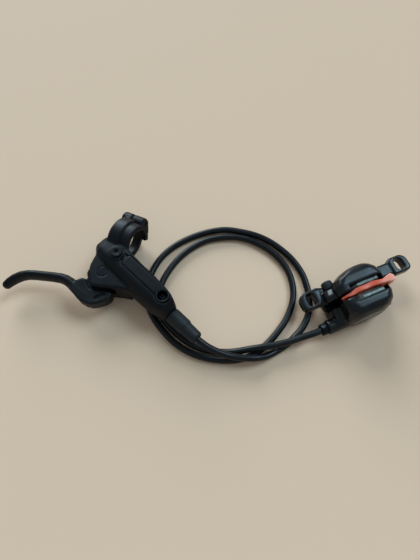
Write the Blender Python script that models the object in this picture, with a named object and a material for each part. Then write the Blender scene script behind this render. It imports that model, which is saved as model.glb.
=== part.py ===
"""Hydraulic disc brake for a bicycle: lever unit, hose and caliper, lying on a flat surface.

Sizes are millimetres and angles are degrees; MM turns a finished mesh into metres.
The lever unit and the caliper are each modelled in a frame of their own, carried by an empty:
  lever unit: +X along the master cylinder towards the hose, +Y towards the handlebar, Z up
  caliper:    +X along the line through both mounting ears, +Y towards the wheel's hub side, Z up
In both frames z = 0 is the surface that the brake lies on.
"""
import math

import bmesh
import bpy
from mathutils import Matrix, Vector

MM = 0.001

# Clearances
FIT = 0.3               # between pieces that touch or are fastened
RUN = 0.12              # round a shaft that turns or slides
PRESS = 0.1             # round a pin that is driven home

# Where the two units lie, seen from above
LEVER_AT = (-66.49, 11.64)
LEVER_TURN = -43.5
CALIPER_AT = (108.46, -5.76)
CALIPER_TURN = 22.8

# Master cylinder, along X at (CYL_Y, CYL_Z)
CYL_Y = -3.2
CYL_Z = 15.0
CYL_BORE = 10.0
CYL_MOUTH = 9.5
CYL_END = 45.0
HOUSING_END = 58.5
HOUSING_FLOOR = 6.0     # underside of the housing, above the hose strands
HOUSING_TOP = 29.0

# Lever pivot and blade
PIVOT = (0.9, -16.2)
PIVOT_D = 6.0
HUB_H = 7.6
LUG_TOP = 23.6
BLADE_H = 11.0
BLADE_T = 6.8
ARM_LEAN = 11.0         # the cam arm starts this far before square to the cylinder
ROD_PIN_R = 2.4
ROD_PIN_PLAY = 0.42     # the open pivot of the linkage: room for the arc that the cam arm swings

# Handlebar clamp, in its own frame: a along the bar, n away from the lever, h up
BAR_D = 22.2
BAR_AT = (-6.6, 16.4)
BAR_TURN = 15.0
BAR_RISE = 12.0
ARM_A = (-10.8, 8.2)            # the arm cast with the housing, from one side to the other
ARM_T = 3.9
RIB_A = (-9.4, 0.6)
RIB_T = 1.6
BAND_A = (-6.5, 0.6)
BAND_T = 4.0
SPLIT = 1.0
SEAM_H = 0.9 - BAR_D / 2        # where the housing ends above the band's bolt tab
CLAMP_BOLT_D = 5.0
CLAMP_BOLT_AT = (-3.0, -3.2 - BAR_D / 2)    # (a, n)
CLAMP_BOLT_HEAD = (4.0, 2.0)    # radius, height
CLAMP_BOLT_TIP = SEAM_H + 4.3
HINGE_AT = (3.7 + BAR_D / 2, 5.2)           # (n, h)
HINGE_R = 4.9
HINGE_PIN_D = 3.2
KNUCKLE_A = (-13.4, -4.6, 6.2)  # the arm's knuckle, the seam between the two, the band's knuckle

# Reservoir, lid and bleed screw
LID_T = 1.8
LID_Y = (-3.2, 5.4)
LID_X = (8.2, 47.9)
LID_SCREW_AT = (47.9, -0.2)
LID_SCREW_D = 3.0
LID_CUP_R = 3.7
LID_CUP_DEPTH = 5.6
POCKET_FLOOR = 22.0
BLEED_R = 4.2

# Hose and its two ends
HOSE_D = 5.0
NUT_THREAD_R = 3.6
NUT_AF = 8.0
BOOT_LEN = 25.5
BOOT_R = 6.0

# The hose's centre line, from the lever's insert round two loops to the caliper's
HOSE_ROUTE = [
    (-30.39, -27.03, 15), (-22.3, -34.7, 15), (-13.6, -43, 15), (-6.7, -49.5, 15),
    (-0.3, -53.8, 13.2), (7.7, -57.2, 10.8), (16.2, -59.6, 8.9), (25.2, -60.7, 8.3), (33.7, -60.5, 7.4),
    (41, -58.6, 4.8), (47.7, -55.2, 2.9), (54.7, -51, 2.6), (62, -45, 2.6), (69.8, -36.2, 2.6),
    (74.8, -25.6, 2.6), (76.4, -15.1, 2.6), (75.6, -4.2, 2.6), (72.6, 7.4, 2.6), (65.6, 19.6, 2.6),
    (56, 29.6, 2.6), (47, 36.3, 2.6), (37, 41.1, 2.6), (25.4, 44.2, 2.6), (13.4, 45.8, 2.6),
    (-1.4, 43.4, 2.6), (-16.1, 37.6, 2.6), (-27.7, 30.4, 2.6), (-37, 21, 2.6),
    (-43.6, 8.8, 2.6), (-47, -4.1, 2.6), (-46.1, -16.2, 2.6), (-41.6, -27.8, 2.6),
    (-34.2, -38.2, 2.6), (-23.5, -49.1, 2.6), (-9, -57.2, 2.6), (6.7, -60.8, 2.6),
    (21.2, -60.6, 2.6), (32.2, -56.8, 2.6), (41.1, -50.4, 2.6), (49.9, -41.3, 2.6),
    (58.4, -29.4, 2.6), (63.8, -15.6, 2.6), (64.6, -2.1, 2.6), (60.8, 12, 2.6), (51.4, 24.6, 2.6),
    (40.4, 32.7, 2.6), (27.4, 38, 2.6), (13.3, 38.8, 2.6), (-0.6, 36.2, 2.6), (-12.2, 30, 2.6),
    (-22.4, 21, 2.6), (-30.4, 10, 2.6), (-36, -2, 2.6), (-38.4, -13.6, 2.6),
    (-36.2, -24.6, 2.6), (-29.4, -35, 2.6), (-18.1, -45.4, 2.6), (-5.2, -52.4, 2.6),
    (9.2, -55, 2.6), (20.2, -55, 4.3), (29.4, -54, 7.2), (38.7, -52.8, 8.3),
    (48.2, -51.2, 8.2), (57.7, -48.8, 8.2), (67.2, -45.6, 8.1), (75.8, -42.9, 8.2),
    (81.8, -40.4, 8.2), (90.74, -36.62, 8.2),
]
HOSE_POINTS = 80

# Caliper
EAR_SPACING = 74.2
EAR_Z = (9.8, 17.2)
EAR_SLOT = (6.4, 10.2)          # across, along
ROTOR_Y = -10.3
ROTOR_SLOT = 4.8
CALIPER_H = 32.0
PISTON_D = 21.0
CYL_WALL = 3.9                  # above the pistons
CYL_AT = (0.0, CALIPER_H - CYL_WALL - PISTON_D / 2)     # (x, z) of both caliper pistons
PISTON_LEN = 7.6
PAD_GAP = 2.6
SPACER_ROOM = 0.42              # from the spacer's leaf to each pad, more than the pads travel
FRICTION_T = 2.2
PLATE_T = 1.7
PAD_X = (-11.8, 11.0)
PAD_LOW = 8.6
PLATE_BELOW = 2.4               # the backing plates end this far below the caliper's top
FRICTION_BELOW = 5.6
POCKET_SIDE = 1.4               # room for the pads at each end of the pocket
BRIDGE_H = 8.8
CALIPER_OUT = -23.6             # outer face of the bridge
BODY_BOLT_D = 6.0
BODY_BOLT_Z = 5.3
BODY_BOLT_X = (-20.4, 18.2)
PAD_PIN_D = 2.4
PAD_PIN_AT = (0.8, 3.8)         # (x, z)
HOSE_PORT = (-21.6, 8.2)        # (y, z) of the hose where it enters the outer half
HOSE_PORT_X = -34.0
HOSE_BOSS_R = 5.3
NIPPLE_AT = (-20.8, 15.8)       # (x, z)

# Colours: (red, green, blue), roughness, metallic
FINISHES = {
    "satin_black": ((0.030, 0.033, 0.038), 0.42, 0.0),
    "gloss_black": ((0.012, 0.013, 0.015), 0.18, 0.0),
    "matte_black": ((0.035, 0.036, 0.038), 0.65, 0.0),
    "rubber": ((0.028, 0.028, 0.030), 0.75, 0.0),
    "hose_black": ((0.022, 0.024, 0.028), 0.38, 0.0),
    "steel": ((0.55, 0.55, 0.56), 0.30, 1.0),
    "black_steel": ((0.05, 0.05, 0.055), 0.40, 0.8),
    "brass": ((0.70, 0.52, 0.22), 0.35, 1.0),
    "resin_white": ((0.72, 0.70, 0.64), 0.50, 0.0),
    "friction": ((0.10, 0.075, 0.055), 0.90, 0.0),
    "spacer_orange": ((0.83, 0.12, 0.04), 0.45, 0.0),
}


def clear_scene():
    for obj in list(bpy.data.objects):
        bpy.data.objects.remove(obj, do_unlink=True)


def finish(name):
    """The named finish as a material, made once."""
    material = bpy.data.materials.get(name)
    if material:
        return material
    colour, roughness, metallic = FINISHES[name]
    material = bpy.data.materials.new(name)
    material.use_nodes = True
    shader = material.node_tree.nodes["Principled BSDF"]
    shader.inputs["Base Color"].default_value = (*colour, 1.0)
    shader.inputs["Roughness"].default_value = roughness
    shader.inputs["Metallic"].default_value = metallic
    return material


def carrier(name, at, turn):
    """An empty that carries a unit: moved to at and turned about Z."""
    empty = bpy.data.objects.new(name, None)
    empty.location = Vector((at[0], at[1], 0.0)) * MM
    empty.rotation_euler = (0.0, 0.0, math.radians(turn))
    bpy.context.collection.objects.link(empty)
    return empty


def arc(cx, cy, radius, start, stop, steps):
    """Points on a circle from angle start to angle stop, both included."""
    points = []
    for i in range(steps + 1):
        angle = math.radians(start + (stop - start) * i / steps)
        points.append((cx + radius * math.cos(angle), cy + radius * math.sin(angle)))
    return points


def closed(bm):
    bmesh.ops.remove_doubles(bm, verts=bm.verts, dist=1e-4)
    bmesh.ops.recalc_face_normals(bm, faces=bm.faces)
    return bm


def prism(outline, low, high, bevel=0.0, segments=2):
    """An outline in X and Y, extruded from z = low to z = high, with its rims rounded."""
    bm = bmesh.new()
    face = bm.faces.new([bm.verts.new((x, y, low)) for x, y in outline])
    grown = bmesh.ops.extrude_face_region(bm, geom=[face])["geom"]
    top = [item for item in grown if isinstance(item, bmesh.types.BMVert)]
    bmesh.ops.translate(bm, vec=(0.0, 0.0, high - low), verts=top)
    closed(bm)
    if bevel:
        rims = [e for e in bm.edges if abs(e.verts[0].co.z - e.verts[1].co.z) < 1e-6]
        bmesh.ops.bevel(bm, geom=rims, offset=bevel, segments=segments, profile=0.5, affect="EDGES")
    return bm


def box(low, high, bevel=0.0):
    outline = [(low[0], low[1]), (high[0], low[1]), (high[0], high[1]), (low[0], high[1])]
    return prism(outline, low[2], high[2], bevel)


def turned(profile, sides=32):
    """A profile of (x, radius) points revolved about X; a radius of 0 is on the axis."""
    bm = bmesh.new()
    verts = [bm.verts.new((x, radius, 0.0)) for x, radius in profile]
    on_axis = profile[0][1] == 0 and profile[-1][1] == 0
    count = len(verts) - 1 if on_axis else len(verts)
    edges = [bm.edges.new((verts[i], verts[(i + 1) % len(verts)])) for i in range(count)]
    bmesh.ops.spin(bm, geom=verts + edges, cent=(0, 0, 0), axis=(1, 0, 0),
                   angle=math.tau, steps=sides, use_merge=True)
    return closed(bm)


def rod(x0, x1, radius, sides=24, chamfer=0.0):
    """A round bar along X, with chamfered ends."""
    if chamfer:
        profile = [(x0, 0), (x0, radius - chamfer), (x0 + chamfer, radius),
                   (x1 - chamfer, radius), (x1, radius - chamfer), (x1, 0)]
    else:
        profile = [(x0, 0), (x0, radius), (x1, radius), (x1, 0)]
    return turned(profile, sides)


def tube(x0, x1, inner, outer, sides=24):
    return turned([(x0, inner), (x0, outer), (x1, outer), (x1, inner)], sides)


def loft(sections):
    """Bridges closed loops of equally many points and caps both ends."""
    bm = bmesh.new()
    loops = [[bm.verts.new(point) for point in section] for section in sections]
    for low, high in zip(loops, loops[1:]):
        for i in range(len(low)):
            j = (i + 1) % len(low)
            bm.faces.new((low[i], low[j], high[j], high[i]))
    bm.faces.new(loops[0])
    bm.faces.new(loops[-1])
    return closed(bm)


def moved(bm, matrix):
    bmesh.ops.transform(bm, matrix=matrix, verts=bm.verts)
    if matrix.to_3x3().determinant() < 0:
        bmesh.ops.reverse_faces(bm, faces=bm.faces)
    return bm


def along_x(y, z, x=0.0):
    """Puts a shape that was turned about X on an axis along X."""
    return Matrix.Translation((x, y, z))


def along_y(x, z, y=0.0, flip=False):
    """Turns a shape's X axis to +Y, or to -Y if flipped."""
    return Matrix.Translation((x, y, z)) @ Matrix.Rotation(math.radians(-90 if flip else 90), 4, "Z")


def along_z(x, y, z=0.0, flip=False):
    """Turns a shape's X axis to +Z, or to -Z if flipped."""
    return Matrix.Translation((x, y, z)) @ Matrix.Rotation(math.radians(90 if flip else -90), 4, "Y")


def solid(name, bm, material, parent=None, at=(0.0, 0.0, 0.0)):
    """Makes the named object from a mesh in millimetres, with its origin at the point at."""
    bmesh.ops.translate(bm, vec=-Vector(at), verts=bm.verts)
    bmesh.ops.scale(bm, vec=(MM, MM, MM), verts=bm.verts)
    mesh = bpy.data.meshes.new(name)
    bm.to_mesh(mesh)
    bm.free()
    mesh.shade_smooth()
    mesh.set_sharp_from_angle(angle=math.radians(32))
    mesh.materials.append(finish(material))
    obj = bpy.data.objects.new(name, mesh)
    bpy.context.collection.objects.link(obj)
    obj.parent = parent
    obj.location = Vector(at) * MM
    return obj


def combine(base, others, operation):
    """Applies one Boolean for each of the other meshes to the base mesh, and returns the base."""
    for other in others:
        names = ("work_base", "work_tool")
        pair = []
        for name, bm in zip(names, (base, other)):
            mesh = bpy.data.meshes.new(name)
            bm.to_mesh(mesh)
            bm.free()
            obj = bpy.data.objects.new(name, mesh)
            bpy.context.collection.objects.link(obj)
            pair.append(obj)
        pair[1].hide_render = True
        pair[1].display_type = "WIRE"
        modifier = pair[0].modifiers.new("boolean", "BOOLEAN")
        modifier.object = pair[1]
        modifier.operation = operation
        modifier.solver = "EXACT"
        modifier.use_self = True
        graph = bpy.context.evaluated_depsgraph_get()
        result = pair[0].evaluated_get(graph)
        base = bmesh.new()
        base.from_mesh(result.to_mesh())
        result.to_mesh_clear()
        for obj in pair:
            mesh = obj.data
            bpy.data.objects.remove(obj, do_unlink=True)
            bpy.data.meshes.remove(mesh)
        bmesh.ops.remove_doubles(base, verts=base.verts, dist=2e-4)
        bmesh.ops.dissolve_degenerate(base, edges=base.edges, dist=1e-4)
    return base


def fuse(base, *others):
    return combine(base, others, "UNION")


def cut(base, *others):
    return combine(base, others, "DIFFERENCE")


def hex_bar(x0, x1, across_flats):
    """A hexagonal bar along X."""
    return turned([(x0, 0), (x0, across_flats / math.sqrt(3)), (x1, across_flats / math.sqrt(3)),
                   (x1, 0)], 6)


def cap_screw(length, shank_r, head_r, head_h, socket_af, sides=20):
    """A screw along X: shank from 0 to length, head below 0, with a hexagon socket in the head."""
    profile = [(-head_h, 0), (-head_h, head_r - 0.5), (-head_h + 0.5, head_r), (0, head_r),
               (0, shank_r), (length - 0.6, shank_r), (length, shank_r - 0.6), (length, 0)]
    return cut(turned(profile, sides), hex_bar(-head_h - 1.0, -head_h * 0.35, socket_af))


# Lever unit

def housing_section(x, left, right, top, floor):
    """One section of the housing: cylinder round below, lid flat above, an elliptic flank on the left."""
    radius = CYL_Z - floor
    strip = min(LID_Y[0] - 0.6, (left + right) / 2)
    waist = CYL_Z + 1.5
    points = arc(CYL_Y, CYL_Z, radius, 205, 335, 8)
    points[-1] = (min(points[-1][0], right), points[-1][1])
    points += [(right, CYL_Z + 3.0), (right, top - 1.6), (right - 1.3, top)]
    for k in range(8):
        turn = math.radians(90 * k / 7)
        points.append((strip + (left - strip) * math.sin(turn), waist + (top - waist) * math.cos(turn)))
    return [(x, y, z) for y, z in points]


def housing():
    stations = [
        (-19.6, -4.5, 3.0, 21.5, 9.0),
        (-18.0, -7.6, 5.4, 24.0, 6.6),
        (-13.5, -11.2, 7.2, 26.4, 4.4),
        (-6.0, -12.6, 8.2, 27.6, 4.0),
        (4.0, -13.0, 8.0, HOUSING_TOP - 0.4, 4.2),
        (10.0, -13.1, 7.5, HOUSING_TOP, 5.0),
        (17.0, -13.3, 7.1, HOUSING_TOP, HOUSING_FLOOR),
        (34.0, -13.6, 6.7, HOUSING_TOP, HOUSING_FLOOR),
        (45.0, -13.2, 6.0, HOUSING_TOP, HOUSING_FLOOR),
        (50.5, -12.0, 5.2, HOUSING_TOP - 0.3, 6.4),
        (54.5, -10.4, 4.0, HOUSING_TOP - 2.2, 6.9),
        (57.2, -9.3, 2.9, HOUSING_TOP - 5.2, 7.5),
        (HOUSING_END, -8.6, 2.2, HOUSING_TOP - 7.4, 8.2),
    ]
    return loft([housing_section(*station) for station in stations])


def clamp_frame():
    """From the clamp's frame, (a, n, h), to the lever unit's frame."""
    outer = BAR_D / 2 + BAND_T
    reach = -BAND_A[0] * math.sin(math.radians(BAR_RISE))
    height = outer * math.cos(math.radians(BAR_RISE)) + reach
    place = Matrix.Translation((BAR_AT[0], BAR_AT[1], height))
    turn = Matrix.Rotation(math.radians(BAR_TURN), 4, "Z")
    return place @ turn @ Matrix.Rotation(math.radians(-BAR_RISE), 4, "Y")


def on_clamp(outline, a0, a1, bevel=0.0):
    """An outline in (n, h), extruded along the bar from a0 to a1, in the lever unit's frame."""
    upright = Matrix(((0, 0, 1, 0), (1, 0, 0, 0), (0, 1, 0, 0), (0, 0, 0, 1)))
    return moved(prism(outline, a0, a1, bevel), clamp_frame() @ upright)


def ring_sector(inner, outer, start, stop, steps=18):
    return arc(0, 0, outer, start, stop, steps) + arc(0, 0, inner, stop, start, steps)


def clamp_bar(a0, a1, n, h, radius, sides=28):
    """A round bar parallel to the handlebar."""
    return moved(rod(a0, a1, radius, sides), clamp_frame() @ Matrix.Translation((0, n, h)))


def clamp_post(h0, h1, radius, sides=20):
    """A round bar along the clamp bolt."""
    a, n = CLAMP_BOLT_AT
    return moved(rod(h0, h1, radius, sides), clamp_frame() @ along_z(a, n))


def lug_outline():
    """Plan of the two plates that hold the pivot pin."""
    points = [(24.0, -9.0), (-14.5, -5.0), (-13.0, -11.5), (-10.4, -18.0)]
    points += arc(-2.6, -20.8, 5.4, 186, 238, 4)
    points += arc(2.2, -25.6, 3.4, 232, 302, 4)
    points += [(9.0, -25.2), (15.0, -20.4), (20.0, -16.6), (25.5, -13.2)]
    return points


def lever_slot():
    """The space between the plates, where the lever's hub and cam arm swing."""
    low = CYL_Z - HUB_H / 2 - FIT
    high = CYL_Z + HUB_H / 2 + FIT
    outline = [(-9.2, -40.0), (17.4, -40.0), (17.4, -19.8), (13.0, -17.4), (CYL_MOUTH - 0.4, -9.5)]
    outline += [(CYL_MOUTH - 0.4, 1.9), (-9.2, 1.9), (-10.6, -12.0), (-16.0, -22.0)]
    return prism(outline, low, high)


def clamp_bracket():
    """The half of the handlebar clamp that is cast with the housing, with its hinge knuckle."""
    outer = BAR_D / 2 + ARM_T
    arm = on_clamp(ring_sector(BAR_D / 2 - 1.0, outer, 12, 222, 28), *ARM_A, 0.8)
    rib = on_clamp(ring_sector(BAR_D / 2 + 1.0, outer + RIB_T, 24, 165, 20), *RIB_A, 0.7)
    n, h = HINGE_AT
    start, seam, _ = KNUCKLE_A
    knuckle = on_clamp(arc(n, h, HINGE_R, 0, 345, 23), start, seam, 1.3)
    return fuse(arm, rib, knuckle)


def make_lever_body(parent):
    pin_x, pin_y = PIVOT
    pin_r = PIVOT_D / 2
    body = housing()
    lug = prism(lug_outline(), 2.0, LUG_TOP, 1.7, 3)
    boss = moved(rod(0.0, 8.0, 7.0, 28, 0.8), along_z(pin_x, pin_y))
    bleed_boss = turned([(0, 0), (0, 6.4), (8.4, 5.9), (9.2, 5.2), (9.2, 0)], 28)
    bleed_boss = moved(bleed_boss, along_z(0, 0, 20.2))
    body = fuse(body, lug, boss, clamp_bracket(), bleed_boss)

    bar = clamp_bar(-40, 40, 0, 0, BAR_D / 2, 48)
    band_a = (BAND_A[0] - FIT, BAND_A[1] + FIT)
    start, seam, _ = KNUCKLE_A
    band_path = ring_sector(BAR_D / 2 - 1.0, BAR_D / 2 + BAND_T + 0.5, -150, -2, 24)
    tab_out = CLAMP_BOLT_AT[1] - CLAMP_BOLT_HEAD[0] - 1.7
    tab_room = [(tab_out, -30.0), (-6.0, -30.0), (-6.0, SEAM_H), (tab_out, SEAM_H)]
    n, h = HINGE_AT
    link_room = [(n - 5.0, -6.0), (n + 6.0, -6.0), (n + 6.0, h), (n - 5.0, h)]
    body = cut(
        body, bar,
        on_clamp(band_path, *band_a),
        on_clamp(tab_room, band_a[0], band_a[1] + 4.0),
        on_clamp(link_room, seam, ARM_A[1] + 2.0),
        clamp_bar(seam, ARM_A[1] + 2.0, n, h, HINGE_R + FIT),
        clamp_bar(start - 2.0, seam + 1.0, n, h, HINGE_PIN_D / 2 + PRESS, 16),
        clamp_post(SEAM_H - 2.0, CLAMP_BOLT_TIP + 0.4, CLAMP_BOLT_D / 2 + PRESS),
        lever_slot(),
        moved(rod(-1, LUG_TOP + 1, pin_r + PRESS, 24), along_z(pin_x, pin_y)),
        moved(rod(-1, 1.8, pin_r + 2.4, 24), along_z(pin_x, pin_y)),
        moved(rod(LUG_TOP - 0.8, LUG_TOP + 1, pin_r + 1.2, 24), along_z(pin_x, pin_y)),
    )

    bore_r = CYL_BORE / 2
    port_r = NUT_THREAD_R + FIT
    bore = turned([(CYL_MOUTH - 2.0, 0), (CYL_MOUTH - 2.0, bore_r), (CYL_END - 0.8, bore_r),
                   (CYL_END, bore_r - 0.8), (CYL_END, 1.2), (HOUSING_END - 9.0, 1.2),
                   (HOUSING_END - 9.0, 2.3), (HOUSING_END - 6.4, port_r),
                   (HOUSING_END + 1.0, port_r), (HOUSING_END + 1.0, 0)], 32)
    seat_low = HOUSING_TOP - LID_T - 0.2
    pocket = box((LID_X[0] + 2.0, LID_Y[0] + 1.6, POCKET_FLOOR), (41.0, LID_Y[1] - 1.4, HOUSING_TOP))
    seat = prism(lid_outline(FIT), seat_low, HOUSING_TOP + 2.0)
    tongue = box((LID_X[0] - 3.4, -1.6, seat_low - 0.1), (LID_X[0] + 1.0, 3.9, seat_low + 1.2 + 2 * FIT))
    cup_low = HOUSING_TOP - LID_CUP_DEPTH - 1.4
    screw_x, screw_y = LID_SCREW_AT
    holes = [moved(rod(18.0, POCKET_FLOOR + 1.0, 0.6, 8), along_z(x, -1.0)) for x in (25.5, 36.5)]
    bleed_hole = turned([(-9.0, 0), (-9.0, 2.6), (-1.1, 2.6), (-1.1, 4.0), (2.0, 4.0), (2.0, 0)], 20)
    body = cut(
        body,
        moved(bore, along_x(CYL_Y, CYL_Z)),
        pocket, seat, tongue, *holes,
        moved(rod(cup_low, HOUSING_TOP + 1.0, LID_CUP_R + 1.3, 24), along_z(screw_x, screw_y)),
        moved(rod(cup_low - 4.0, cup_low + 1.0, LID_SCREW_D / 2 + FIT, 16), along_z(screw_x, screw_y)),
        moved(bleed_hole, along_z(0, 0, 29.4)),
        moved(rod(0.5, LID_X[0] + 4.0, 1.1, 12), along_x(0.6, 23.6)),
    )
    return solid("lever_body", body, "satin_black", parent)


def lid_outline(grow=0.0):
    """Plan of the lid: a long strip with a round end about its screw."""
    x, y = LID_SCREW_AT
    end_r = 5.0 + grow
    points = [(LID_X[0] - grow, LID_Y[0] + 1.2), (LID_X[0] + 1.2, LID_Y[0] - grow)]
    points += [(x - 4.0, LID_Y[0] - grow)] + arc(x, y, end_r, -118, 92, 14)
    points += [(x - 4.0, LID_Y[1] + grow), (LID_X[0] + 1.2, LID_Y[1] + grow),
               (LID_X[0] - grow, LID_Y[1] - 1.2)]
    return points


def make_reservoir(parent):
    """Lid with its screw cup and front tongue, diaphragm, lid screw and bleed screw."""
    x, y = LID_SCREW_AT
    low = HOUSING_TOP - LID_T + 0.1
    top = HOUSING_TOP + 0.1
    seat_low = HOUSING_TOP - LID_T - 0.2
    cup_low = HOUSING_TOP - LID_CUP_DEPTH - 1.1
    plate = prism(lid_outline(), low, top, 0.45)
    cup = moved(rod(cup_low, low + 0.9, LID_CUP_R + 1.0, 24), along_z(x, y))
    tongue = box((LID_X[0] - 3.0, -1.2, seat_low + FIT), (LID_X[0] + 1.6, 3.5, seat_low + 1.1 + FIT))
    lid = cut(
        fuse(plate, cup, tongue),
        moved(rod(cup_low + 1.1, top + 1.0, LID_CUP_R, 24), along_z(x, y)),
        moved(rod(cup_low - 1.0, cup_low + 2.0, LID_SCREW_D / 2 + FIT, 16), along_z(x, y)),
    )
    solid("reservoir_lid", lid, "satin_black", parent)

    head = cup_low + 1.1 + FIT
    screw = turned([(-5.0, 0), (-5.0, LID_SCREW_D / 2 - 0.4), (-4.6, LID_SCREW_D / 2),
                    (0, LID_SCREW_D / 2), (0, 3.0), (1.3, 3.0), (2.2, 2.2), (2.4, 0)], 20)
    blade = box((-0.45, -2.0, 1.1), (0.45, 2.0, 3.4))
    cross = box((-2.0, -0.45, 1.1), (2.0, 0.45, 3.4))
    screw = cut(moved(screw, along_z(0, 0)), blade, cross)
    solid("lid_screw", moved(screw, Matrix.Translation((x, y, head))), "steel", parent)

    outer = box((LID_X[0] + 2.4, LID_Y[0] + 2.0, seat_low - 4.2),
                (40.6, LID_Y[1] - 1.8, seat_low - 0.2), 0.4)
    inner = box((LID_X[0] + 3.4, LID_Y[0] + 3.0, seat_low - 3.2), (39.6, LID_Y[1] - 2.8, seat_low + 1.0))
    solid("reservoir_diaphragm", cut(outer, inner), "rubber", parent)

    bleed = turned([(-7.4, 0), (-7.4, 1.8), (-6.9, 2.3), (0, 2.3), (0, BLEED_R - 0.2), (0.3, BLEED_R),
                    (0.7, BLEED_R), (1.2, BLEED_R - 0.6), (1.2, 0)], 24)
    bleed = cut(moved(bleed, along_z(0, 0)), moved(hex_bar(0.3, 3.0, 3.0), along_z(0, 0)))
    solid("bleed_screw", moved(bleed, Matrix.Translation((0, 0, 29.4 + FIT))), "satin_black", parent)
    seal = moved(tube(0, 0.8, 2.6, 3.7), along_z(0, 0, 29.4 - 1.0))
    solid("bleed_screw_seal", seal, "rubber", parent)


def make_clamp(parent):
    """Lower band of the handlebar clamp, its hinge pin and its bolt."""
    bore = BAR_D / 2
    low_a, high_a = BAND_A
    start, seam, end = KNUCKLE_A
    bolt_n = CLAMP_BOLT_AT[1]
    head_r, head_h = CLAMP_BOLT_HEAD
    tab_top = SEAM_H - SPLIT
    tab_low = -bore - BAND_T + 0.2
    tab_out = bolt_n - head_r - 1.2
    strap = on_clamp(ring_sector(bore, bore + BAND_T, -138, -3, 24), low_a, high_a, 0.6)
    shoulder = on_clamp(ring_sector(bore, bore + BAND_T, -44, -3, 8), seam + 2 * FIT, end - 0.4, 0.6)
    tab = [(tab_out, tab_top), (tab_out, tab_low + 1.5), (tab_out + 1.5, tab_low), (-1.0, tab_low),
           (-6.5, tab_top)]
    n, h = HINGE_AT
    knuckle = on_clamp(arc(n, h, HINGE_R, 0, 345, 23), seam + FIT, end, 1.3)
    link = [(n - 4.0, -3.0), (n - 0.2, -5.0), (n + HINGE_R - 0.2, h - 1.5), (n, h), (n - 4.0, h)]
    band = fuse(strap, shoulder, on_clamp(tab, low_a + 0.3, high_a - 0.3, 0.7), knuckle,
                on_clamp(link, seam + FIT + 0.2, end - 0.2))
    under_head = tab_low + 0.4 + head_h
    band = cut(band, clamp_bar(-20, 20, n, h, HINGE_PIN_D / 2 + FIT, 16),
               clamp_post(-20.0, under_head - FIT, head_r + FIT),
               clamp_post(-20.0, 0.0, CLAMP_BOLT_D / 2 + FIT),
               clamp_bar(-30, 30, 0, 0, bore, 48))
    solid("clamp_band", band, "satin_black", parent)

    pin = rod(start + 0.4, end - 0.4, HINGE_PIN_D / 2, 16, 0.3)
    pin = moved(pin, clamp_frame() @ Matrix.Translation((0, n, h)))
    solid("clamp_hinge_pin", pin, "black_steel", parent)

    bolt = cap_screw(CLAMP_BOLT_TIP - under_head + 2 * FIT, CLAMP_BOLT_D / 2, head_r, head_h, 3.0)
    at = clamp_frame() @ along_z(CLAMP_BOLT_AT[0], bolt_n, under_head - 2 * FIT)
    solid("clamp_bolt", moved(bolt, at), "steel", parent)


def blade_path():
    """Centre line of the finger blade from its root to its tip."""
    root = [(4.5, -36.0), (-1.5, -36.9), (-7.5, -37.0), (-13.0, -37.1), (-17.5, -37.9), (-21.4, -39.6)]
    straight = [(-26.7, -43.2), (-32.0, -47.2), (-37.0, -51.0)]
    tip = [(-41.0, -54.5), (-43.9, -58.5), (-45.6, -63.0), (-46.3, -67.5), (-46.2, -71.6)]
    return root + straight + tip


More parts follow.
